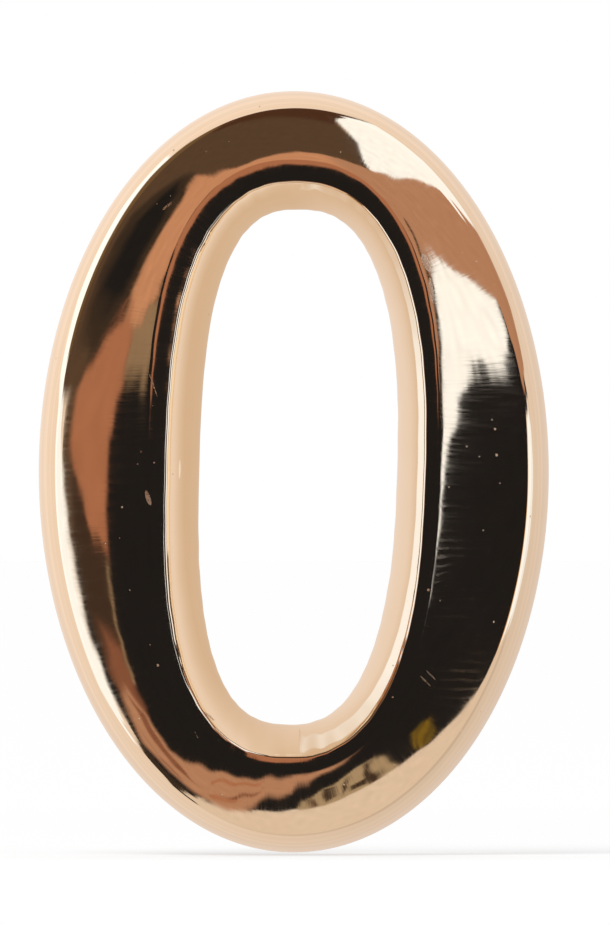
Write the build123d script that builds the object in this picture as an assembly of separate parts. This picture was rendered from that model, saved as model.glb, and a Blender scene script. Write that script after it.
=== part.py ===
from build123d import *
import os
from math import atan, copysign, cos, degrees, pi, radians, sin, tan

# House number 0, a polished brass numeral cast in one piece with a hollow back.
#
# The numeral stands upright, as it does on a door: X runs to the right, Z runs up and
# the face looks along -Y. The two flat rims of the hollow back lie in the plane Y = 0.
# The origin is the middle of the oval outline, in that plane.
#
# The body is one section carried all the way round the oval. The section changes as it
# goes, because the stroke is wide at the sides and narrow at the top and bottom, and
# because the counter, the open middle, leans, bows and lies off centre.

# Outline of the numeral, in millimetres
height = 60.0
width = 40.2
outline_squareness = 2.014  # exponent of the oval; 2 would be an ellipse

# Counter, at the back plane
counter_height = 40.6
counter_width = 15.6
counter_squareness = 2.59
counter_lean = 1.55  # degrees, top towards +X
counter_bow = 0.36  # how far its middle bulges towards +X
counter_rise = 0.38  # how far its centre lies above the outline's centre

# Widths across the stroke, as seen from the front. The first two start at the counter's
# edge, and each drift is how much they grow where the stroke lies towards +X and +Z.
inner_wall_width = 2.25
inner_wall_drift = (-0.20, -0.24)
ridge_offset = 3.86
ridge_drift = (-0.47, 0.08)
outer_wall_width = 1.3
ridge_roll = 0.3  # rounding of the ridge, next to the bevel
inner_shoulder_roll = 0.2  # rounding of the edge above the counter's wall
outer_shoulder_roll = 0.4  # broader, because the polishing wheel reaches this edge

# Heights above the back plane
depth = 5.5  # to the ridge, the same all the way round
outer_wall_height = 3.65
land = 0.4  # upright part of each wall, next to the back plane

# Slopes in degrees, 0 being parallel to the door
face_top_slope = 6.0  # falling from the ridge towards the outline
bevel_top_slope = 5.0
bevel_foot_slope = 11.0
inner_wall_top_slope = 52.0
inner_wall_foot_slope = 76.0
outer_wall_top_slope = 55.0
outer_wall_foot_slope = 77.0

# Hollow back
rim_width = 1.3  # flat rims that bear on the door
inner_ceiling = 3.6  # height of the hollow's ceiling next to the counter
outer_ceiling = 2.8  # and next to the outline, where the face is lower
inner_draft = 19.0  # degrees, the hollow's side next to the counter
outer_draft = 15.0
hollow_chamfer = 0.8  # where the sides meet the ceiling
ground_off = 0.5  # cast behind the back plane and ground away to make the rims flat

section_count = 28


def oval(across, up, squareness, angle):
    """A point of a rounded outline, across and up being its half sizes."""
    power = 2 / squareness
    x = across * copysign(abs(cos(angle)) ** power, cos(angle))
    z = up * copysign(abs(sin(angle)) ** power, sin(angle))
    return x, z


def outline_point(angle):
    x, z = oval(width / 2, height / 2, outline_squareness, angle)
    return Vector(x, 0, z)


def counter_point(angle):
    x, z = oval(counter_width / 2, counter_height / 2, counter_squareness, angle)
    x += counter_bow * (1 - (2 * z / counter_height) ** 2)
    lean = radians(counter_lean)
    return Vector(x * cos(lean) + z * sin(lean), 0, z * cos(lean) - x * sin(lean) + counter_rise)


def rise(slope):
    return tan(radians(slope))


def bend(start, run, slope, next_slope):
    """Even curve away from start that falls at one slope and then at a steeper one. Its
    width is run, which is negative towards the counter."""
    corner = start + Vector(run / 2, -abs(run) / 2 * rise(slope))
    return Bezier(start, corner, corner + Vector(run / 2, -abs(run) / 2 * rise(next_slope)))


def wall(top, slope, foot, foot_slope):
    """Curve from the top of a wall to its foot, falling at a slope that is given at
    both ends."""
    run, drop = foot.X - top.X, top.Y - foot.Y
    share = (rise(foot_slope) - drop / abs(run)) / (rise(foot_slope) - rise(slope))
    return Bezier(top, top + Vector(share * run, -share * abs(run) * rise(slope)), foot)


def inner_side(ridge, wall_width):
    """Ridge, bevel, shoulder and wall, from the ridge to behind the inner rim."""
    roll = bend(ridge, -ridge_roll, -face_top_slope, bevel_top_slope)
    bevel_run = wall_width + inner_shoulder_roll - (roll @ 1).X
    bevel = bend(roll @ 1, bevel_run, bevel_top_slope, bevel_foot_slope)
    shoulder = bend(bevel @ 1, -inner_shoulder_roll, bevel_foot_slope, inner_wall_top_slope)
    foot = Vector(0, land)
    side = wall(shoulder @ 1, inner_wall_top_slope, foot, inner_wall_foot_slope)
    return [roll, bevel, shoulder, side, Line(foot, (0, -ground_off))]


def outer_side(ridge, stroke):
    """Crowned face, shoulder and wall, from the ridge to behind the outer rim. The
    face's slope at the shoulder follows from its width and from how far it falls."""
    face_run = stroke - outer_wall_width - outer_shoulder_roll - ridge.X
    rolls = face_run * rise(face_top_slope) + outer_shoulder_roll * rise(outer_wall_top_slope)
    foot_rise = (2 * (depth - outer_wall_height) - rolls) / (face_run + outer_shoulder_roll)
    face_foot_slope = degrees(atan(foot_rise))
    face = bend(ridge, face_run, face_top_slope, face_foot_slope)
    shoulder = bend(face @ 1, outer_shoulder_roll, face_foot_slope, outer_wall_top_slope)
    foot = Vector(stroke, land)
    side = wall(shoulder @ 1, outer_wall_top_slope, foot, outer_wall_foot_slope)
    return [face, shoulder, side, Line(foot, (stroke, -ground_off))]


def hollow(stroke):
    """The hollow back, from the inner rim to the outer rim. Its sides lean with the
    walls and its ceiling falls with the face, so that the metal is evenly thick."""
    outer_rim = stroke - rim_width
    inner_foot = Vector(rim_width - ground_off * rise(inner_draft), -ground_off)
    inner_corner = Vector(rim_width + inner_ceiling * rise(inner_draft), inner_ceiling)
    outer_corner = Vector(outer_rim - outer_ceiling * rise(outer_draft), outer_ceiling)
    outer_foot = Vector(outer_rim + ground_off * rise(outer_draft), -ground_off)
    ceiling = (outer_corner - inner_corner).normalized() * hollow_chamfer
    return [
        inner_foot,
        inner_corner + (inner_foot - inner_corner).normalized() * hollow_chamfer,
        inner_corner + ceiling,
        outer_corner - ceiling,
        outer_corner + (outer_foot - outer_corner).normalized() * hollow_chamfer,
        outer_foot,
    ]


def section(angle):
    """Closed outline of the metal at one place round the oval, in a plane whose X runs
    across the stroke from the counter's edge and whose Y runs towards the viewer."""
    inner, outer = counter_point(angle), outline_point(angle)
    across = (outer - inner).normalized()
    stroke = (outer - inner).length
    plane = Plane(inner, x_dir=across, z_dir=across.cross(Vector(0, -1, 0)))

    def drifted(distance, drift):
        return distance + drift[0] * across.X + drift[1] * across.Z

    ridge = Vector(drifted(ridge_offset, ridge_drift), depth)
    face = [*inner_side(ridge, drifted(inner_wall_width, inner_wall_drift)), *outer_side(ridge, stroke)]
    back = Polyline((0, -ground_off), *hollow(stroke), (stroke, -ground_off))
    return plane * Wire([*back.edges(), *face])


sections = [section(2 * pi * k / section_count) for k in range(section_count)]
casting = Solid.make_loft([*sections, sections[0]])
numeral = split(casting, bisect_by=Plane.XZ, keep=Keep.TOP)

os.makedirs("parts", exist_ok=True)
export_step(numeral, "parts/numeral_zero.step")
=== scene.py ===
from math import pi, radians

import bpy
import numpy as np
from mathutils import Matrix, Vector


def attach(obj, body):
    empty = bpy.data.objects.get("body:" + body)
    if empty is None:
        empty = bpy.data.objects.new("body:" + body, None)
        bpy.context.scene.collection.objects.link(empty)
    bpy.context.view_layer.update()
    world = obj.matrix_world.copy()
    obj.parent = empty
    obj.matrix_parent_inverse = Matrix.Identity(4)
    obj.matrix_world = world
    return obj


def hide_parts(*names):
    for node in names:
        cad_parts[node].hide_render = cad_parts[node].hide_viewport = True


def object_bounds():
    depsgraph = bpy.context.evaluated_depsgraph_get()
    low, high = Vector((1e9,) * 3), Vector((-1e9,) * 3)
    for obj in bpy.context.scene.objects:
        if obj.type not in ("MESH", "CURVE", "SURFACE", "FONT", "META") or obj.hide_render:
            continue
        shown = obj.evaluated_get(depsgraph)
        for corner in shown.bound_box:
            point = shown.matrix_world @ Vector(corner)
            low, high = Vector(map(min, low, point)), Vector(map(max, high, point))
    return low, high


# House number 0: one cast and hand polished brass numeral with a hollow back.
#
# The numeral stands in the X-Z plane and its face looks along -Y. Its surface is a
# section carried round an oval, as in the solid that it stands for, but with the small
# unevenness of hand polishing. Lengths are in millimetres and become metres in the mesh.

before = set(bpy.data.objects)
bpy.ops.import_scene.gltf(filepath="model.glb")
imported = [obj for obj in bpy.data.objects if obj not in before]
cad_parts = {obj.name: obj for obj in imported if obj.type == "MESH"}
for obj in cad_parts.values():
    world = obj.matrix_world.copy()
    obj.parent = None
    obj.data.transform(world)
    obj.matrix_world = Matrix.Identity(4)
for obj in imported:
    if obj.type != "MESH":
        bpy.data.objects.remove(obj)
cad_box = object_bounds()

MM = 0.001

# Outline and counter
HEIGHT = 60.0
WIDTH = 40.2
OUTLINE_SQUARENESS = 2.014
COUNTER_HEIGHT = 40.6
COUNTER_WIDTH = 15.6
COUNTER_SQUARENESS = 2.59
COUNTER_LEAN = 1.55
COUNTER_BOW = 0.36
COUNTER_RISE = 0.38

# Widths across the stroke, and how much they grow where it lies towards +X and +Z
INNER_WALL_WIDTH = 2.25
INNER_WALL_DRIFT = (-0.20, -0.24)
RIDGE_OFFSET = 3.86
RIDGE_DRIFT = (-0.47, 0.08)
OUTER_WALL_WIDTH = 1.3
RIDGE_ROLL = 0.3
INNER_SHOULDER_ROLL = 0.2
OUTER_SHOULDER_ROLL = 0.4

# Heights above the back plane
DEPTH = 5.5
OUTER_WALL_HEIGHT = 3.65
LAND = 0.4

# Slopes in degrees
FACE_TOP_SLOPE = 6.0
BEVEL_TOP_SLOPE = 5.0
BEVEL_FOOT_SLOPE = 11.0
INNER_WALL_SLOPES = (52.0, 76.0)
OUTER_WALL_SLOPES = (55.0, 77.0)

# Hollow back
RIM_WIDTH = 1.3
INNER_CEILING = 3.6
OUTER_CEILING = 2.8
INNER_DRAFT = 19.0
OUTER_DRAFT = 15.0
HOLLOW_CHAMFER = 0.8

# Mesh density: stations round the oval, and points along each zone of the section
STATIONS = 800
ZONE_POINTS = {"land": 2, "wall": 13, "roll": 6, "bevel": 12, "face": 36, "rim": 3, "hollow": 5}

# Hand polishing, in millimetres. Turns are the waves in one turn round the oval.
SEED = 7
FACE_WAVE = 0.0012
WAVE_TERMS = 60
WAVE_TURNS = (10, 60)
WAVE_TILT = 0.9
EDGE_WANDER = 0.01
EDGE_TERMS = 40
EDGE_TURNS = (4, 60)
FOOT_WANDER = 0.05  # the most that the counter's edge strays
SHARP_ANGLE = 35.0  # degrees, above which an edge is shaded sharp

# Studio, in metres and pixels of the 610 x 925 picture
IMAGE_SIZE = (610, 925)
OVAL_MIDDLE = (293.8, 471.8)
PIXELS_PER_MM = 12.685
CAMERA_DISTANCE = 2.0
SENSOR = 36.0
FLOOR_SIZE = 12.0
FLOOR_GAP = 0.2
FLOOR_COLOUR = (0.93, 0.93, 0.93, 1)
FLOOR_FADE = (0.03, 0.3, 0.5, 1.0)  # from and to which distance it turns white, and how white
FLOOR_SOFTNESS = 0.2
WORLD_LIGHT = 0.75
LAMP_POWER = 6.0
LAMP_SIZE = 0.6
LAMP_PLACE = (-0.35, -0.55, 0.9)
VIEW_END = 100

# Brass, and the skin that the casting keeps on its back, each in two tones
BRASS = ((0.93, 0.74, 0.53, 1), (0.90, 0.70, 0.48, 1))
OXIDE = ((0.38, 0.23, 0.11, 1), (0.68, 0.47, 0.26, 1))
ROUGHNESS = (0.03, 0.09)  # from one polishing streak to the next
CAST_DULLNESS = 0.36

# Noise patterns: how they are stretched, their scale to a millimetre and their detail
STREAKS = ((1, 1, 0.08), 5.0, 3.0)
FINE_STREAKS = ((1, 1, 0.03), 14.0, 2.0)
CLOUD = ((1, 1, 1), 0.25, 3.0)
GRAIN = ((1, 1, 1), 9.0, 4.0)
SAND = ((1, 1, 1), 2.6, 6.0)
WOBBLE = ((1, 1, 1), 0.3, 3.0)

# Which part of a pattern is used: its low and high end, and what they turn into
STREAK_RANGE = (0.3, 0.7, *ROUGHNESS)
SAND_RANGE = (0.38, 0.66, 0.0, 1.0)
WORN_RANGE = (0.35, 0.55, 0.2, 1.0)
RIPPLE_RANGE = (-0.5, 1.0, 0.0, 1.0)
RIPPLE_GRAIN = (0.35, 0.6, 0.3, 1.0)
RIPPLE_PATCHES = (0.36, 0.55, 0.2, 1.0)

# Depths in metres
STREAK_DEPTH = 8e-7
FINE_STREAK_DEPTH = 3e-7
PIT_DEPTH = 1.5e-5
GRAIN_DEPTH = 8e-5
SAND_DEPTH = 2.5e-4

# Pits: cells to a millimetre, the part of them that holds none, and the largest radius
PIT_CELLS = 0.75
PIT_NONE = 0.6
PIT_RADIUS = 0.1
PIT_SMALLEST = 0.001
PIT_DULLNESS = 0.55

# Wear of the polish: both ends, in millimetres to the right and up, the width, and how dull
WEAR = [
    ((-11.6, -1.6), (-11.3, -2.5), 0.42, 0.75),
    ((-11.4, 7.9), (-10.7, 5.8), 0.1, 0.6),
    ((-12.0, 1.6), (-12.0, 1.6), 0.16, 0.7),
    ((-12.3, 0.6), (-12.3, 0.6), 0.14, 0.7),
    ((-10.3, 20.6), (-9.6, 21.2), 0.22, 0.6),
    ((10.2, 16.9), (10.6, 16.0), 0.6, 0.6),
    ((10.7, 15.2), (10.9, 13.4), 0.35, 0.5),
    ((-6.9, 25.2), (-6.9, 25.2), 0.2, 0.6),
    ((-5.1, 26.0), (-5.1, 26.0), 0.16, 0.6),
    ((9.9, -16.0), (10.8, -16.9), 0.14, 0.5),
    ((10.4, -15.6), (11.2, -16.4), 0.12, 0.5),
    ((-7.0, -18.9), (-6.2, -19.6), 0.2, 0.6),
    ((-7.8, -20.4), (-7.5, -21.0), 0.12, 0.4),
    ((13.6, 2.0), (13.6, 2.0), 0.14, 0.6),
    ((15.6, 4.1), (15.6, 4.1), 0.12, 0.6),
    ((12.2, -1.2), (12.2, -1.2), 0.12, 0.6),
    ((16.2, -0.9), (16.2, -0.9), 0.12, 0.6),
    ((14.9, -4.6), (14.9, -4.6), 0.14, 0.6),
    ((11.5, -10.1), (11.5, -10.1), 0.14, 0.6),
    ((-13.7, -5.2), (-13.7, -5.2), 0.12, 0.6),
    ((-12.9, -9.3), (-12.9, -9.3), 0.14, 0.6),
    ((-11.3, -13.6), (-11.3, -13.6), 0.12, 0.6),
]

# Faint ripples of the polishing, in millimetres. Each row of the zone says where along an
# axis they start to show, and where they are full.
RIPPLE_PITCH = 0.69
RIPPLE_SWAY = 1.6
RIPPLE_DULLNESS = 0.26
RIPPLE_ZONE = [("X", 9.4, 11.6), ("X", 16.8, 13.4), ("Z", -20.5, -16.0), ("Z", -2.0, -7.0)]


def oval(across, up, squareness, angle):
    power = 2 / squareness
    x = across * np.sign(np.cos(angle)) * abs(np.cos(angle)) ** power
    z = up * np.sign(np.sin(angle)) * abs(np.sin(angle)) ** power
    return x, z


def counter(angle):
    x, z = oval(COUNTER_WIDTH / 2, COUNTER_HEIGHT / 2, COUNTER_SQUARENESS, angle)
    x = x + COUNTER_BOW * (1 - (2 * z / COUNTER_HEIGHT) ** 2)
    lean = radians(COUNTER_LEAN)
    return x * np.cos(lean) + z * np.sin(lean), z * np.cos(lean) - x * np.sin(lean) + COUNTER_RISE


def rise(slope):
    return np.tan(np.radians(slope))


def points(across, height):
    """One point of the section at every station."""
    return np.stack(np.broadcast_arrays(across, height), axis=-1)


def bezier(start, corner, end, count):
    u = np.linspace(0, 1, count)[None, :, None]
    start, corner, end = start[:, None], corner[:, None], end[:, None]
    return (1 - u) ** 2 * start + 2 * u * (1 - u) * corner + u ** 2 * end


def straight(start, end, count):
    return bezier(start, (start + end) / 2, end, count)


def bend(start, run, slope, next_slope, count):
    corner = start + points(run / 2, -abs(run) / 2 * rise(slope))
    end = corner + points(run / 2, -abs(run) / 2 * rise(next_slope))
    return bezier(start, corner, end, count)


def wall(top, foot, slopes, count):
    run = foot[:, 0] - top[:, 0]
    drop = top[:, 1] - foot[:, 1]
    share = (rise(slopes[1]) - drop / abs(run)) / (rise(slopes[1]) - rise(slopes[0]))
    corner = top + points(share * run, -share * abs(run) * rise(slopes[0]))
    return bezier(top, corner, foot, count)


def wander(angle, random):
    """How far an edge strays round the oval: smooth noise that closes on itself."""
    turns = random.integers(*EDGE_TURNS, EDGE_TERMS)
    phase = random.uniform(0, 2 * pi, EDGE_TERMS)
    waves = np.cos(np.outer(angle, turns) + phase).sum(axis=1) * np.sqrt(2 / EDGE_TERMS)
    return EDGE_WANDER * waves


def section(angle, random):
    """The closed section at every station as stations x points x (across, height), and
    how much each point belongs to the unpolished back."""
    inner_x, inner_z = counter(angle)
    outer_x, outer_z = oval(WIDTH / 2, HEIGHT / 2, OUTLINE_SQUARENESS, angle)
    stroke = np.hypot(outer_x - inner_x, outer_z - inner_z)
    across_x, across_z = (outer_x - inner_x) / stroke, (outer_z - inner_z) / stroke

    def drifted(distance, drift):
        return distance + drift[0] * across_x + drift[1] * across_z

    count = ZONE_POINTS
    ridge = points(drifted(RIDGE_OFFSET, RIDGE_DRIFT) + wander(angle, random), DEPTH)
    wall_width = drifted(INNER_WALL_WIDTH, INNER_WALL_DRIFT) + wander(angle, random)
    foot_wander = wander(angle, random).clip(-FOOT_WANDER, FOOT_WANDER)
    zero = np.zeros_like(angle)

    roll = bend(ridge, zero - RIDGE_ROLL, -FACE_TOP_SLOPE, BEVEL_TOP_SLOPE, count["roll"])
    bevel_run = wall_width + INNER_SHOULDER_ROLL - roll[:, -1, 0]
    bevel = bend(roll[:, -1], bevel_run, BEVEL_TOP_SLOPE, BEVEL_FOOT_SLOPE, count["bevel"])
    shoulder_run = zero - INNER_SHOULDER_ROLL
    shoulder = bend(bevel[:, -1], shoulder_run, BEVEL_FOOT_SLOPE, INNER_WALL_SLOPES[0], count["roll"])
    foot = points(foot_wander, LAND)
    side = wall(shoulder[:, -1], foot, INNER_WALL_SLOPES, count["wall"])
    inner = [roll, bevel, shoulder, side, straight(foot, foot * (1, 0), count["land"])]

    face_run = stroke - OUTER_WALL_WIDTH - OUTER_SHOULDER_ROLL - ridge[:, 0]
    rolls = face_run * rise(FACE_TOP_SLOPE) + OUTER_SHOULDER_ROLL * rise(OUTER_WALL_SLOPES[0])
    foot_rise = (2 * (DEPTH - OUTER_WALL_HEIGHT) - rolls) / (face_run + OUTER_SHOULDER_ROLL)
    face_foot_slope = np.degrees(np.arctan(foot_rise))
    face = bend(ridge, face_run, FACE_TOP_SLOPE, face_foot_slope, count["face"])
    shoulder_run = zero + OUTER_SHOULDER_ROLL
    shoulder = bend(face[:, -1], shoulder_run, face_foot_slope, OUTER_WALL_SLOPES[0], count["roll"])
    foot = points(stroke, LAND)
    side = wall(shoulder[:, -1], foot, OUTER_WALL_SLOPES, count["wall"])
    outer = [face, shoulder, side, straight(foot, foot * (1, 0), count["land"])]

    corners = [
        points(zero + RIM_WIDTH, 0),
        points(zero + RIM_WIDTH + INNER_CEILING * rise(INNER_DRAFT), INNER_CEILING),
        points(stroke - RIM_WIDTH - OUTER_CEILING * rise(OUTER_DRAFT), OUTER_CEILING),
        points(stroke - RIM_WIDTH, 0),
    ]

    def cut(corner, towards):
        way = towards - corner
        return corner + way / np.linalg.norm(way, axis=-1, keepdims=True) * HOLLOW_CHAMFER

    stops = [
        corners[0],
        cut(corners[1], corners[0]),
        cut(corners[1], corners[2]),
        cut(corners[2], corners[1]),
        cut(corners[2], corners[3]),
        corners[3],
    ]
    hollow = [straight(a, b, count["hollow"]) for a, b in zip(stops[1:], stops)][::-1]
    outer_rim = straight(outer[-1][:, -1], corners[3], count["rim"])
    inner_rim = straight(corners[0], inner[-1][:, -1], count["rim"])

    back = [outer_rim] + hollow + [inner_rim]
    strips = outer + back + [strip[:, ::-1] for strip in inner[::-1]]
    whole = np.concatenate([strip[:, :-1] for strip in strips], axis=1)
    lengths = [strip.shape[1] - 1 for strip in strips]
    finish = [0.0] * len(outer) + [0.5] + [1.0] * len(hollow) + [0.5] + [0.0] * len(inner)
    cast = np.repeat(finish, lengths)
    return whole, cast, (inner_x, inner_z), (across_x, across_z)


def ring_mesh():
    random = np.random.default_rng(SEED)
    angle = np.arange(STATIONS) * 2 * pi / STATIONS
    whole, cast, (inner_x, inner_z), (across_x, across_z) = section(angle, random)
    across, height = whole[..., 0], whole[..., 1]

    place = np.stack([
        inner_x[:, None] + across_x[:, None] * across,
        -height,
        inner_z[:, None] + across_z[:, None] * across,
    ], axis=-1)

    # Unevenness of the polished face, along the surface's own direction
    along = np.roll(place, -1, axis=0) - np.roll(place, 1, axis=0)
    over = np.roll(place, -1, axis=1) - np.roll(place, 1, axis=1)
    outward = np.cross(over, along)
    outward /= np.linalg.norm(outward, axis=-1, keepdims=True)
    wave = np.zeros_like(across)
    for _ in range(WAVE_TERMS):
        turns = random.integers(*WAVE_TURNS)
        tilt = random.normal(0, WAVE_TILT)
        wave += np.cos(turns * angle[:, None] + tilt * across + random.uniform(0, 2 * pi))
    wave *= FACE_WAVE * np.sqrt(2 / WAVE_TERMS)
    wave *= (1 - cast)[None, :] * np.clip(height / LAND - 1, 0, 1)
    place = place + outward * wave[..., None]
    low, high = np.array(cad_box) / MM
    place = place.clip(low, high)

    stations, ring = across.shape
    index = np.arange(stations * ring).reshape(stations, ring)
    ahead, beside = np.roll(index, -1, axis=0), np.roll(index, -1, axis=1)
    both = np.roll(ahead, -1, axis=1)
    quads = np.stack([index, beside, both, ahead], axis=-1).reshape(-1, 4)

    mesh = bpy.data.meshes.new("numeral")
    mesh.from_pydata((place.reshape(-1, 3) * MM).tolist(), [], quads.tolist())
    mesh.shade_smooth()
    mesh.set_sharp_from_angle(angle=radians(SHARP_ANGLE))

    # Where a point lies along and across the stroke, for the polishing streaks
    reach = (WIDTH + HEIGHT) / 4
    path = np.stack([
        np.broadcast_to(reach * np.cos(angle)[:, None], across.shape),
        np.broadcast_to(reach * np.sin(angle)[:, None], across.shape),
        across,
    ], axis=-1)
    shares = np.broadcast_to(cast[None, :], across.shape)
    stored = mesh.attributes.new("stroke_path", "FLOAT_VECTOR", "POINT")
    stored.data.foreach_set("vector", path.ravel())
    stored = mesh.attributes.new("as_cast", "FLOAT", "POINT")
    stored.data.foreach_set("value", shares.ravel())
    return mesh


class Graph:
    """Short way to write a material's nodes."""

    def __init__(self, tree):
        self.tree = tree

    def add(self, kind, inputs=(), **settings):
        node = self.tree.nodes.new(kind)
        for name, value in settings.items():
            setattr(node, name, value)
        for name, value in dict(inputs).items():
            self.feed(node.inputs[name], value)
        return node

    def feed(self, socket, value):
        if isinstance(value, bpy.types.NodeSocket):
            self.tree.links.new(value, socket)
        else:
            socket.default_value = value

    def math(self, operation, *values):
        return self.add("ShaderNodeMath", dict(enumerate(values)), operation=operation).outputs[0]

    def vector_math(self, operation, first, second, result):
        inputs = {0: first, 1: second}
        return self.add("ShaderNodeVectorMath", inputs, operation=operation).outputs[result]

    def spread(self, value, low, high, to_low, to_high):
        inputs = {
            "Value": value,
            "From Min": low,
            "From Max": high,
            "To Min": to_low,
            "To Max": to_high,
        }
        return self.add("ShaderNodeMapRange", inputs).outputs[0]

    def noise(self, vector, stretch, scale, detail):
        stretched = self.vector_math("MULTIPLY", vector, stretch, 0)
        inputs = {"Vector": stretched, "Scale": scale, "Detail": detail}
        return self.add("ShaderNodeTexNoise", inputs).outputs["Fac"]

    def blend(self, share, first, second):
        inputs = {"Factor": share, "A": first, "B": second}
        return self.add("ShaderNodeMix", inputs, data_type="RGBA").outputs["Result"]

    def bump(self, height, depth, normal=None):
        inputs = {"Height": height, "Distance": depth, "Strength": 1.0}
        node = self.add("ShaderNodeBump", inputs)
        if normal is not None:
            self.feed(node.inputs["Normal"], normal)
        return node.outputs[0]


def brass():
    material = bpy.data.materials.new("polished_brass")
    material.use_nodes = True
    graph = Graph(material.node_tree)
    shader = material.node_tree.nodes["Principled BSDF"]
    shader.inputs["Metallic"].default_value = 1.0

    path = graph.add("ShaderNodeAttribute", attribute_name="stroke_path").outputs["Vector"]
    cast = graph.add("ShaderNodeAttribute", attribute_name="as_cast").outputs["Fac"]
    spot = graph.add("ShaderNodeTexCoord").outputs["Object"]
    spot = graph.add("ShaderNodeVectorMath", {0: spot, "Scale": 1 / MM}, operation="SCALE").outputs[0]

    streaks = graph.noise(path, *STREAKS)
    fine_streaks = graph.noise(path, *FINE_STREAKS)
    cloud = graph.noise(spot, *CLOUD)
    grain = graph.noise(spot, *GRAIN)
    sand = graph.noise(spot, *SAND)
    wobble = graph.noise(spot, *WOBBLE)

    # Dust, scratches and worn places: each has its ends, its width and how dull it is
    worn = 0.0
    for start, end, breadth, dullness in WEAR:
        along = Vector((end[0] - start[0], 0, end[1] - start[1]))
        centre = Vector(((start[0] + end[0]) / 2, 0, (start[1] + end[1]) / 2))
        moved = graph.vector_math("SUBTRACT", spot, centre, 0)
        way = along.normalized() if along.length else Vector((1, 0, 0))
        side = Vector((-way.z, 0, way.x))
        lengthwise = graph.vector_math("DOT_PRODUCT", moved, way, "Value")
        sideways = graph.vector_math("DOT_PRODUCT", moved, side, "Value")
        lengthwise = graph.math("DIVIDE", lengthwise, along.length / 2 + breadth / 2)
        sideways = graph.math("DIVIDE", sideways, breadth / 2)
        lengthwise = graph.math("MULTIPLY", lengthwise, lengthwise)
        sideways = graph.math("MULTIPLY", sideways, sideways)
        out = graph.math("ADD", lengthwise, sideways)
        worn = graph.math("MAXIMUM", worn, graph.spread(out, 0.5, 1.0, dullness, 0.0))
    worn = graph.math("MULTIPLY", worn, graph.spread(grain, *WORN_RANGE))

    # Pits of casting and polishing: a few cells of a cell pattern hold one
    cells = graph.add("ShaderNodeTexVoronoi", {"Vector": spot, "Scale": PIT_CELLS})
    pick = graph.add("ShaderNodeSeparateColor", {"Color": cells.outputs["Color"]})
    radius = graph.spread(pick.outputs[0], PIT_NONE, 1.0, 0.0, PIT_RADIUS)
    radius = graph.math("MAXIMUM", radius, PIT_SMALLEST)
    out = graph.math("DIVIDE", cells.outputs["Distance"], radius)
    pit = graph.spread(out, 0.5, 1.0, 1.0, 0.0)

    # Ripples across the lower part of the right stroke
    place = graph.add("ShaderNodeSeparateXYZ", {0: spot}).outputs
    turns = graph.math("DIVIDE", place["Z"], RIPPLE_PITCH)
    turns = graph.math("ADD", turns, graph.math("MULTIPLY", wobble, RIPPLE_SWAY))
    ripples = graph.math("SINE", graph.math("MULTIPLY", turns, 2 * pi))
    ripples = graph.spread(ripples, *RIPPLE_RANGE)
    ripples = graph.math("MULTIPLY", ripples, graph.spread(grain, *RIPPLE_GRAIN))
    ripples = graph.math("MULTIPLY", ripples, graph.spread(wobble, *RIPPLE_PATCHES))
    for axis, nothing, everything in RIPPLE_ZONE:
        shown = graph.spread(place[axis], nothing, everything, 0.0, 1.0)
        ripples = graph.math("MULTIPLY", ripples, shown)

    oxide = graph.blend(graph.spread(sand, *SAND_RANGE), *OXIDE)
    colour = graph.blend(cast, graph.blend(cloud, *BRASS), oxide)
    graph.feed(shader.inputs["Base Color"], colour)

    rough = graph.spread(streaks, *STREAK_RANGE)
    rough = graph.math("ADD", rough, graph.math("MULTIPLY", pit, PIT_DULLNESS))
    rough = graph.math("ADD", rough, graph.math("MULTIPLY", cast, CAST_DULLNESS))
    rough = graph.math("MAXIMUM", rough, worn)
    rough = graph.math("MAXIMUM", rough, graph.math("MULTIPLY", ripples, RIPPLE_DULLNESS))
    graph.feed(shader.inputs["Roughness"], rough)

    polished = graph.math("SUBTRACT", 1.0, cast)
    bump = graph.bump(graph.math("MULTIPLY", streaks, polished), STREAK_DEPTH)
    bump = graph.bump(graph.math("MULTIPLY", fine_streaks, polished), FINE_STREAK_DEPTH, bump)
    bump = graph.bump(graph.math("MULTIPLY", pit, -1.0), PIT_DEPTH, bump)
    bump = graph.bump(graph.math("MULTIPLY", grain, cast), GRAIN_DEPTH, bump)
    bump = graph.bump(graph.math("MULTIPLY", sand, cast), SAND_DEPTH, bump)
    graph.feed(shader.inputs["Normal"], bump)
    return material


# Glowing studio cards on a dome in front of the numeral, no lamps, which its polish mirrors:
# painted reflections, that give the numeral its dark, copper, cream and white fields. Each has
# the softness of its edge, its colour and its outline, in degrees to the right and degrees up
# from the line that the face looks along, as seen from the middle of the numeral. Later
# cards lie over earlier ones.
# Tints of the glowing cards, named by their colour alone; DAYLIGHT glows brighter than white, as a
# window would.
DAYLIGHT = (1.12, 1.28, 1.55)
BLACK = (0.015, 0.015, 0.017)
SOOT = (0.045, 0.033, 0.026)
SMOKE = (0.055, 0.036, 0.027)
UMBER = (0.1, 0.066, 0.046)
BISTRE = (0.08, 0.038, 0.024)
OLIVE = (0.14, 0.09, 0.045)
KHAKI = (0.3, 0.22, 0.15)
COPPER = (0.6, 0.32, 0.205)
RUSSET = (0.43, 0.195, 0.12)
CHESTNUT = (0.25, 0.11, 0.07)
ROSE = (0.49, 0.28, 0.195)
AMBER = (0.9, 0.5, 0.14)
CREAM = (0.42, 0.34, 0.24)
TAN = (0.78, 0.7, 0.65)
MOSS = (0.21, 0.145, 0.02)
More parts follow.
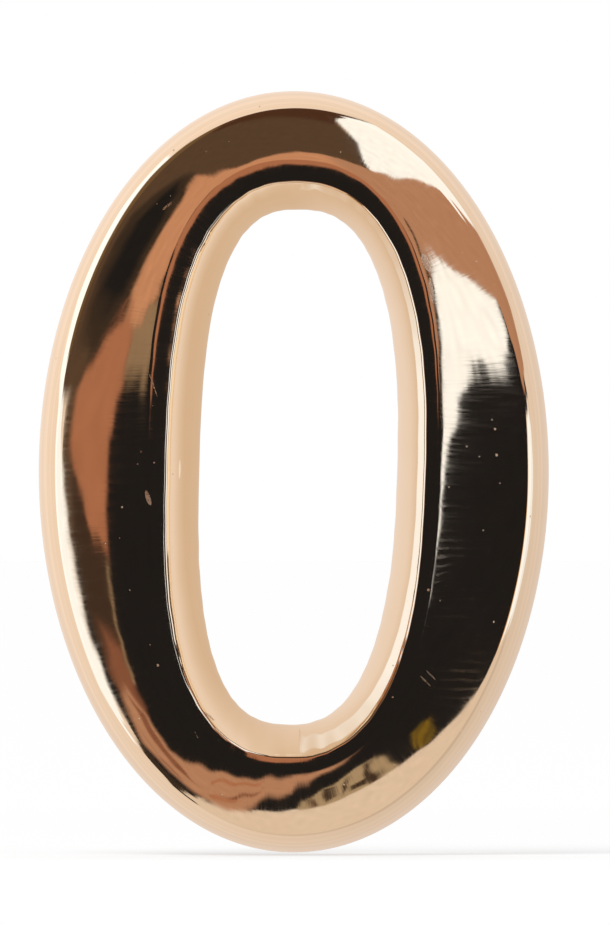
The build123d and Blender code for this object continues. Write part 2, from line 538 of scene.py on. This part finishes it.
CARDS = [
    (3, DAYLIGHT, [
        (-44.4, 0), (-60, 12), (-90, 18), (-100, 45), (-93, 70), (-78, 86), (-88, 97),
        (-112, 75), (-125, 45), (-122, 22), (-108, 12), (-108, -20), (-104, -50), (-85, -62),
        (-60, -47), (-49.5, -33), (-48.9, -20.5), (-45, -7),
    ]),
    (1.2, BLACK, [
        (-45, 14), (-44.4, 2), (-44.8, -8), (-48.5, -20), (-50, -32), (-49.5, -45), (-43, -54),
        (-35, -60), (-10, -55), (0, -51), (14, -48), (28, -42), (36, -37), (45, -29.5),
        (49, -24), (51, -10), (52, 2), (62, 8), (95, 13), (108, 15), (95, 20), (60, 22),
        (20, 60), (-50, 60), (-52, 40),
    ]),
    (4, UMBER, [
        (-30, 40), (-25, 38), (-19, 34), (-13, 30), (-8, 28), (0, 30), (17, 34), (19.5, 47),
        (20.5, 55), (19.5, 62), (15.5, 69), (20, 78), (26, 104), (0, 103), (-20, 100),
        (-45, 96), (-70, 90), (-88, 78), (-93, 68), (-98, 50), (-100, 30), (-80, 14), (-47, 8),
        (-40, 8), (-28, 14),
    ]),
    (4, OLIVE, [
        (-70, 22), (-73, 50), (-62, 68), (-42, 82), (-40, 98), (-70, 91), (-88, 79), (-94, 68),
        (-99, 50), (-101, 30), (-98, 20),
    ]),
    (3, BISTRE, [
        (-30, 71), (-10, 70), (8, 67), (14, 66), (17, 70), (24, 82), (35, 97), (57, 110),
        (20, 105), (0, 104), (-20, 101), (-45, 96), (-45, 88),
    ]),
    (4, SOOT, [
        (-49, 41), (-42, 45), (-36, 46), (-32, 43), (-30, 40), (-28.5, 34), (-28, 27),
        (-30, 23), (-32, 16), (-31, 12), (-36, 10), (-42, 12), (-46, 16), (-49, 25), (-50, 33),
    ]),
    (4, BLACK, [
        (-45, 36), (-40, 41), (-36, 43), (-34, 38), (-33, 28), (-36, 17), (-40, 17), (-46, 22),
    ]),
    (0.8, DAYLIGHT, [
        (17.5, 34), (19.8, 47), (21, 55), (20, 62), (15.5, 69.5), (22, 82), (31, 95), (45, 105),
        (57, 109), (75, 95), (90, 85), (100, 72), (106, 61), (80, 58), (62, 50), (50, 49),
        (43, 48), (36, 45), (31, 42), (25, 38),
    ]),
    (1, ROSE, [
        (3, 19), (0, 34), (8, 33.5), (17, 35), (25, 38), (31, 42), (36, 45), (43, 48), (50, 50),
        (62, 50), (80, 58), (106, 61), (117, 38), (113, 22), (100, 17), (62, 13), (50, 17),
        (48.3, 22.2), (42.8, 21.7), (36, 20.5), (29.4, 19.4), (25, 17.2), (20.5, 14), (17.5, 7),
        (14, 3.2), (12.5, 5), (14, 11), (10, 15),
    ]),
    (3, COPPER, [
        (-30, 40.5), (-25, 38), (-19, 34), (-13, 30), (-8, 28), (-4, 30.5), (0.5, 34), (6, 33),
        (6, 16), (-13, 14), (-17, 12), (-21, 10.5), (-27, 10), (-31, 13), (-32, 16), (-30, 23),
        (-28, 27), (-28, 34),
    ]),
    (1, RUSSET, [
        (-13, 17), (-10, 12.5), (-7, 10.6), (-4.5, 8.2), (-2.6, 5.4), (-1.2, 3.7), (0, 2.9),
        (2.4, 2.6), (4, 6), (8, 11), (10, 16), (5, 20), (-8, 18),
    ]),
    (0.8, SOOT, [
        (-13.4, 15.4), (-11.6, 16.4), (-6.6, 18.4), (-7.2, 19.6), (-13, 17.6), (-14.6, 15.6),
    ]),
    (0.8, SOOT, [
        (18.4, 21), (19.8, 21), (20.4, 15), (20, 9), (18.8, 2.6), (17.6, 2.4), (18.6, 9),
        (18.9, 15),
    ]),
    (0.7, DAYLIGHT, [
        (21.7, 14.2), (25, 17.2), (29.4, 19.4), (36, 20.5), (42.8, 21.7), (48.3, 22.2),
        (47.5, 17.5), (45.6, 13.3), (41.7, 9.4), (33.9, 8.3), (28.3, 6.1), (23.9, 3.3),
        (20.5, 0.5), (18.1, -2.8), (16.2, -8.5), (15.6, -8.5), (17.4, -2), (18.6, 3), (20.4, 9),
    ]),
    (1.5, KHAKI, [(-27, 10.5), (-21.7, 10.5), (-16.5, 11), (-16, 6), (-20, 5), (-27, 6.5)]),
    (0.6, UMBER, [
        (-44.9, 13), (-44.4, 2), (-44.8, -8), (-42.4, -8), (-41.8, 0), (-42.2, 9), (-42, 13),
    ]),
    (1.5, RUSSET, [
        (-42.3, 8.4), (-41, 9.8), (-39, 10.6), (-37.6, 11.8), (-34, 12.6), (-30, 13),
        (-27, 9.5), (-27, 6), (-30.2, 3), (-31.2, -2), (-33, -6), (-37.6, -6), (-39.4, -1.7),
        (-42.2, 1.7),
    ]),
    (0.7, CHESTNUT, [(-42, 9.8), (-38, 11.2), (-36, 11.4), (-39, 10.2)]),
    (0.7, CHESTNUT, [(-38.8, 12.6), (-34, 13.6), (-31, 13.6), (-35, 12.9)]),
    (0.7, CHESTNUT, [(-37.6, 14.2), (-33, 15.2), (-31, 15), (-34, 14.2)]),
    (1.5, SMOKE, [
        (-42, 2), (-40, -2), (-38, -5.5), (-34, -6), (-34.5, -10), (-37, -19), (-38, -25),
        (-44, -30), (-48, -28), (-46, -14), (-43, -5),
    ]),
    (4, CHESTNUT, [(-37, -17), (-38, -25), (-39, -32), (-46, -33), (-46.5, -26), (-43, -17)]),
    (1, KHAKI, [
        (-33.8, -7), (-36, -12), (-37.5, -19), (-38.5, -24), (-37.5, -24), (-36.3, -19),
        (-35, -12), (-33, -7),
    ]),
    (3, ROSE, [
        (-47.5, -36), (-46, -30.5), (-42.8, -26.7), (-38.3, -31.7), (-36, -40), (-31.7, -41),
        (-25, -39), (-17.2, -36), (-9.4, -34.5), (-3.9, -31.7), (1, -27), (5, -25.4),
        (9.5, -23), (8, -26.4), (2.8, -31.7), (0, -39.4), (-3.9, -44), (-8.3, -48.3),
        (-11.7, -53), (-14.4, -57), (-21.7, -58.9), (-30.5, -57.2), (-36, -54), (-41.7, -49.4),
        (-46.7, -44),
    ]),
    (1, CHESTNUT, [
        (-43.5, -29), (-41.5, -40), (-37, -47), (-31, -51), (-33.5, -46), (-38, -40),
        (-40, -31),
    ]),
    (1, CHESTNUT, [(-45.5, -38), (-42, -47), (-36, -52.5), (-37.5, -50), (-43, -45)]),
    (1, RUSSET, [
        (-24, -47), (-13, -41), (-6, -37), (-3, -33), (-8, -36.5), (-14, -39.5), (-24, -45),
    ]),
    (1, CHESTNUT, [
        (-21, -52), (-14, -47.2), (-6, -41), (-3, -37), (-8, -44), (-15, -50), (-21, -54),
    ]),
    (1, RUSSET, [(-27, -54), (-19, -51.5), (-13, -51), (-19, -53.5), (-26, -56)]),
    (1, CREAM, [
        (1.7, -50.5), (2.8, -46), (5, -42), (9.4, -37.5), (12, -34), (14, -31), (17.2, -30.2),
        (21.7, -32.2), (26, -37.2), (29, -39), (28, -42), (14, -49), (3, -52),
    ]),
    (0.8, SMOKE, [
        (16, -31), (17.6, -31), (20, -36), (24, -39.5), (25, -42), (21, -43), (19, -40),
        (20, -42.5), (16.5, -43.5), (15.5, -41), (18.4, -39.5),
    ]),
    (0.8, SMOKE, [(8, -39), (9.6, -39), (11.5, -45), (10, -48), (8.4, -44)]),
    (0.8, SMOKE, [(12.6, -35), (13.4, -35), (14.6, -41), (13.6, -46), (12.8, -41)]),
    (0.8, BISTRE, [(3.6, -45.5), (4.6, -44.5), (6.6, -49), (5, -50.5)]),
    (0.8, TAN, [
        (-33, -57.8), (-29.4, -58.3), (-21.7, -59), (-14.4, -57.2), (-11.7, -54.4), (-6, -53.3),
        (0.5, -51.7), (9.4, -49.4), (18.3, -45), (25, -41.7), (31.7, -38), (36, -36),
        (40.5, -32.2), (44.4, -28), (54, -26), (95, -27), (105, -40), (90, -70), (60, -95),
        (0, -108), (-35, -100), (-60, -85), (-50, -66),
    ]),
    (2.5, SOOT, [
        (-48, -44), (-44, -51), (-36, -57.5), (-46, -70), (-58, -84), (-70, -77), (-64, -62),
        (-55, -50),
    ]),
    (1.2, MOSS, [(28, -28.5), (32, -28), (36, -35), (34, -37), (31, -36), (29, -32)]),
    (0.5, SMOKE, [(29.4, -28), (30, -28), (33.2, -37), (32.4, -37)]),
    (0.5, SMOKE, [(31.4, -27.6), (31.8, -27.6), (35.4, -36), (34.8, -36.4)]),
    (0.5, SMOKE, [(28, -29.4), (28.4, -29), (31, -35.6), (30.6, -36)]),
    (2, DAYLIGHT, [
        (58, -27), (72, -29), (100, -30), (112, -15), (112, 0), (108, 9), (90, 12), (68, 8),
        (58, 1), (57, -12),
    ]),
    (1.5, AMBER, [(50, -26), (56, -26), (57, -12), (57, 0), (52, 2), (51, -10)]),
]
CARD_DISTANCE = 0.1
CARD_REACH = 95.0
CARD_FINE = (55.0, 0.45)  # how far from the middle the mesh is fine, and its step there
CARD_COARSE = 1.6
CARD_MOTTLE = (0.025, 3.0)  # how uneven the cards are, and over how many degrees

# Unevenness of the cards' edges in degrees, over which size, and where it fades out
STIR = 0.25
STIR_SIZE = 2.0
STIR_FADE = (20.0, 60.0)

# A glowing sheet, no lamp, that stands for the paper which the numeral's walls mirror, close
# behind it: pale in the open, paler still to the left and up with painted light, and darker
# with painted shade inside the counter, above all on its left
PAPER = (0.88, 0.81, 0.79)
PAPER_LIT = (0.9, 0.83, 0.81)
PAPER_SHADE = (0.73, 0.6, 0.49)
PAPER_GAP = 0.3
PAPER_REACH = 100.0  # how far it spreads beyond the outline
PAPER_LEVEL = 3.6  # the height from which its far parts are mirrored
PAPER_DIM = (0.0045, 0.003)  # painted light from the left and above: how much paler it gets with each millimetre to the left and up
PAPER_DIM_REACH = (20.0, 30.0)
PAPER_LIT_SIDE = (0.13, -0.017, 0.33)  # how lit it is, for each millimetre across and up, and at first
PAPER_STATIONS = 361
PAPER_RINGS = (40, 90)  # inside the outline and beyond it
PAPER_START = 0.2  # where the rings beyond it begin
PAPER_LINES = (0.03, 4.0)  # how strong its faint lines are, and their size
PAPER_LINE_STRETCH = (6, 2)  # beyond the outline, and round it
PAPER_LINE_TURN = 1

# A glowing white strip, no lamp, that stands in the counter, which the wall to its right mirrors: a
# painted highlight along that wall
STRIP = (1.08, 1.2, 1.4)
STRIP_PLACE = 0.3
STRIP_HEIGHT = 2.9
STRIP_ENDS = (-19.0, 18.5)
STRIP_FADE = ((-19.0, -13.0), (16.0, 7.0))  # where it starts to turn white, and is white
STRIP_GRID = (31, 8)


def inside(x, y, outline, softness):
    """1 inside an outline, 0 outside, and between them over the softness of its edge."""
    nearest = np.full(x.shape, np.inf)
    within = np.zeros(x.shape, bool)
    for (ax, ay), (bx, by) in zip(outline, outline[1:] + outline[:1]):
        length = (bx - ax) ** 2 + (by - ay) ** 2
        share = (((x - ax) * (bx - ax) + (y - ay) * (by - ay)) / length).clip(0, 1)
        nearest = np.minimum(nearest, np.hypot(x - ax - share * (bx - ax), y - ay - share * (by - ay)))
        crosses = (ay > y) != (by > y)
        slope = (bx - ax) / (by - ay) if by != ay else 0.0
        within ^= crosses & (x < ax + (y - ay) * slope)
    signed = np.where(within, nearest, -nearest)
    share = (signed / softness + 0.5).clip(0, 1)
    return share * share * (3 - 2 * share)


def swirl(x, y, size, random):
    """Smooth noise over the dome with a spread of about 1 and patches of a size in degrees."""
    way = random.uniform(0, 2 * pi, WAVE_TERMS)
    rate = random.uniform(0.3, 1.0, WAVE_TERMS) * 2 * pi / size
    phase = random.uniform(0, 2 * pi, WAVE_TERMS)
    waves = [np.cos(r * (x * np.cos(w) + y * np.sin(w)) + p) for w, r, p in zip(way, rate, phase)]
    return sum(waves) * np.sqrt(2 / WAVE_TERMS)


def mirrored(x, y, base, random):
    """What the studio shows in a direction, in degrees to the right and degrees up."""
    start, end = STIR_FADE
    stir = STIR * ((end - np.hypot(x, y)) / (end - start)).clip(0, 1)
    stirred = [a + stir * swirl(x, y, STIR_SIZE, random) for a in (x, y)]
    colour = np.ones(x.shape + (3,)) * base
    for softness, tint, outline in CARDS:
        share = inside(*stirred, outline, softness)[..., None]
        colour = colour * (1 - share) + np.array(tint) * share
    return colour


# Painted reflections: the cards as one glowing sheet on the dome, which only the numeral's reflections
# show.
def glowing_cards():
    random = np.random.default_rng(SEED)
    reach, step = CARD_FINE
    outer = np.arange(reach, CARD_REACH + CARD_COARSE, CARD_COARSE)
    steps = np.concatenate([-outer[::-1], np.arange(-reach + step, reach, step), outer])
    x, y = np.meshgrid(steps, steps)
    colour = mirrored(x, y, PAPER, random)
    mottle, size = CARD_MOTTLE
    colour *= 1 + mottle * swirl(x, y, size, random)[..., None]
    away = np.radians(np.hypot(x, y))
    turn = np.arctan2(y, x)
    way = [np.sin(away) * np.cos(turn), -np.cos(away), np.sin(away) * np.sin(turn)]
    place = CARD_DISTANCE * np.stack(way, axis=-1)
    glowing_sheet("glowing_cards", place, colour, np.hypot(x, y) < CARD_REACH)


def glowing_paper():
    """Rings round the outline of a glowing sheet. Out there the paper shows the same cards as the
    dome, as the walls see it over its edge, with painted light from the left and above, and
    inside the outline it has only painted light and shade."""
    random = np.random.default_rng(SEED)
    angle = np.linspace(2 * pi, 0, PAPER_STATIONS)[:, None]
    x, z = oval(WIDTH / 2, HEIGHT / 2, OUTLINE_SQUARENESS, angle)
    across, up = np.cos(angle) / WIDTH, np.sin(angle) / HEIGHT
    across, up = across / np.hypot(across, up), up / np.hypot(across, up)

    inner_rings, outer_rings = PAPER_RINGS
    share = np.linspace(0, 1, inner_rings + 1)[None, 1:]
    inner_x, inner_z = share * x, share * z
    sideways, upwards, first = PAPER_LIT_SIDE
    lit = (inner_x * sideways + inner_z * upwards + first).clip(0, 1)[..., None]
    inner = np.array(PAPER_SHADE) * (1 - lit) + np.array(PAPER_LIT) * lit

    reach = np.geomspace(PAPER_START, PAPER_REACH, outer_rings)[None, :]
    outer_x, outer_z = x + reach * across, z + reach * up
    away = 90 + np.degrees(np.arctan(PAPER_LEVEL / reach))
    outer = mirrored(away * across, away * up, PAPER, random)
    far_x, far_z = PAPER_DIM_REACH
    # Painted light: the paper grows paler to the left and up, as if lit from there.
    pale = 1 - outer_x.clip(-far_x, far_x) * PAPER_DIM[0] + outer_z.clip(-far_z, far_z) * PAPER_DIM[1]
    beyond = PAPER_LINE_STRETCH[0] * reach
    around = PAPER_LINE_STRETCH[1] * np.cos(angle + PAPER_LINE_TURN)
    beyond, around = np.broadcast_arrays(beyond, around)
    strength, size = PAPER_LINES
    outer *= (pale * (1 + strength * swirl(beyond, around, size, random)))[..., None]

    x, z = np.hstack([inner_x, outer_x]), np.hstack([inner_z, outer_z])
    place = np.stack([x, np.full(x.shape, PAPER_GAP), z], axis=-1) * MM
    glowing_sheet("glowing_paper", place, np.hstack([inner, outer]), np.ones(x.shape, bool))


def highlight_strip():
    """A narrow upright glowing sheet, a painted highlight, that fades into the painted shade at both
    ends.
    """
    rows, columns = STRIP_GRID
    up = np.linspace(*STRIP_ENDS, rows)
    out = np.linspace(PAPER_GAP, -STRIP_HEIGHT, columns)
    z, y = np.meshgrid(up, out, indexing="ij")
    place = np.stack([np.full(z.shape, STRIP_PLACE), y, z], axis=-1) * MM
    white = np.ones(z.shape)
    for start, end in STRIP_FADE:
        white *= ((z - start) / (end - start)).clip(0, 1)
    white = white[..., None]
    colour = np.array(STRIP) * white + np.array(PAPER_SHADE) * (1 - white)
    glowing_sheet("highlight_strip", place, colour, np.ones(z.shape, bool))


def glowing_sheet(name, place, colour, kept):
    """A grid of points as a sheet that glows towards the numeral, and that only the
    numeral's reflections show."""
    rows, columns = kept.shape
    index = np.arange(rows * columns).reshape(rows, columns)
    corners = [index[:-1, :-1], index[1:, :-1], index[1:, 1:], index[:-1, 1:]]
    quads = np.stack(corners, axis=-1).reshape(-1, 4)
    quads = quads[kept.ravel()[quads].all(axis=1)]
    mesh = bpy.data.meshes.new(name)
    mesh.from_pydata(place.reshape(-1, 3).tolist(), [], quads.tolist())
    rgba = np.concatenate([colour, np.ones(kept.shape + (1,))], axis=-1)
    stored = mesh.attributes.new("card_colour", "FLOAT_COLOR", "POINT")
    stored.data.foreach_set("color", rgba.ravel())

    material = bpy.data.materials.new(name)
    material.use_nodes = True
    material.cycles.emission_sampling = "NONE"
    graph = Graph(material.node_tree)
    shade = graph.add("ShaderNodeAttribute", attribute_name="card_colour").outputs["Color"]
    glow = graph.add("ShaderNodeEmission", {"Color": shade, "Strength": 1.0}).outputs[0]
    clear = graph.add("ShaderNodeBsdfTransparent").outputs[0]
    behind = graph.add("ShaderNodeNewGeometry").outputs["Backfacing"]
    mixed = graph.add("ShaderNodeMixShader", {"Fac": behind, 1: glow, 2: clear}).outputs[0]
    graph.feed(material.node_tree.nodes["Material Output"].inputs["Surface"], mixed)
    mesh.materials.append(material)

    sheet = bpy.data.objects.new(name, mesh)
    bpy.context.collection.objects.link(sheet)
    sheet.visible_camera = False
    sheet.visible_diffuse = False
    sheet.visible_transmission = False
    sheet.visible_shadow = False


def studio_world():
    """White all round: for the camera and in reflections as the background, and a
    little less as the light on the floor, which the lamp adds to."""
    world = bpy.data.worlds.new("studio")
    bpy.context.scene.world = world
    world.use_nodes = True
    graph = Graph(world.node_tree)
    ray = graph.add("ShaderNodeLightPath").outputs
    seen = graph.math("MAXIMUM", ray["Is Camera Ray"], ray["Is Glossy Ray"])
    seen = graph.math("MAXIMUM", seen, ray["Is Transmission Ray"])
    background = world.node_tree.nodes["Background"]
    background.inputs["Color"].default_value = (1, 1, 1, 1)
    graph.feed(background.inputs["Strength"], graph.spread(seen, 0, 1, WORLD_LIGHT, 1.0))


def studio_lamp():
    light = bpy.data.lights.new("softbox", "AREA")
    light.size = LAMP_SIZE
    light.energy = LAMP_POWER
    lamp = bpy.data.objects.new("softbox", light)
    bpy.context.collection.objects.link(lamp)
    lamp.location = LAMP_PLACE
    lamp.rotation_euler = (-Vector(LAMP_PLACE)).to_track_quat("-Z", "Y").to_euler()
    lamp.visible_glossy = False


def studio_floor(low):
    """Matt where light falls on it, and white to the camera away from the numeral."""
    bpy.ops.mesh.primitive_plane_add(size=FLOOR_SIZE, location=(0, 0, low))
    floor = bpy.context.object
    floor.name = "floor"
    material = bpy.data.materials.new("floor")
    material.use_nodes = True
    graph = Graph(material.node_tree)
    tree = material.node_tree
    tree.nodes.remove(tree.nodes["Principled BSDF"])
    matt = graph.add("ShaderNodeBsdfDiffuse", {"Color": FLOOR_COLOUR})
    white = graph.add("ShaderNodeEmission", {"Color": (1, 1, 1, 1), "Strength": 1.0})
    camera_ray = graph.add("ShaderNodeLightPath").outputs["Is Camera Ray"]
    place = graph.add("ShaderNodeNewGeometry").outputs["Position"]
    distance = graph.add("ShaderNodeVectorMath", {0: place}, operation="LENGTH").outputs["Value"]
    faded = graph.math("SMOOTH_MIN", graph.spread(distance, *FLOOR_FADE), 1.0, FLOOR_SOFTNESS)
    share = graph.math("MULTIPLY", camera_ray, faded)
    mixed = graph.add("ShaderNodeMixShader", {"Fac": share, 1: matt.outputs[0], 2: white.outputs[0]})
    graph.feed(tree.nodes["Material Output"].inputs["Surface"], mixed.outputs[0])
    floor.data.materials.append(material)
    floor.visible_glossy = False


def camera():
    """Straight in front, far enough off that both sides are seen alike."""
    data = bpy.data.cameras.new("camera")
    data.sensor_width = SENSOR
    data.lens = SENSOR * CAMERA_DISTANCE / (IMAGE_SIZE[1] / PIXELS_PER_MM * MM)
    data.clip_end = VIEW_END
    seen_from = bpy.data.objects.new("camera", data)
    bpy.context.collection.objects.link(seen_from)
    right = (IMAGE_SIZE[0] / 2 - OVAL_MIDDLE[0]) / PIXELS_PER_MM * MM
    up = (OVAL_MIDDLE[1] - IMAGE_SIZE[1] / 2) / PIXELS_PER_MM * MM
    seen_from.location = (right, -CAMERA_DISTANCE, up)
    seen_from.rotation_euler = (pi / 2, 0, 0)
    bpy.context.scene.camera = seen_from


numeral = bpy.data.objects.new("numeral", ring_mesh())
bpy.context.collection.objects.link(numeral)
numeral.data.materials.append(brass())
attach(numeral, "root")
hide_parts("numeral_zero")

studio_floor(cad_box[0][2] - FLOOR_GAP * MM)
glowing_cards()
glowing_paper()
highlight_strip()
studio_world()
studio_lamp()
camera()
bpy.context.scene.view_settings.view_transform = "Standard"
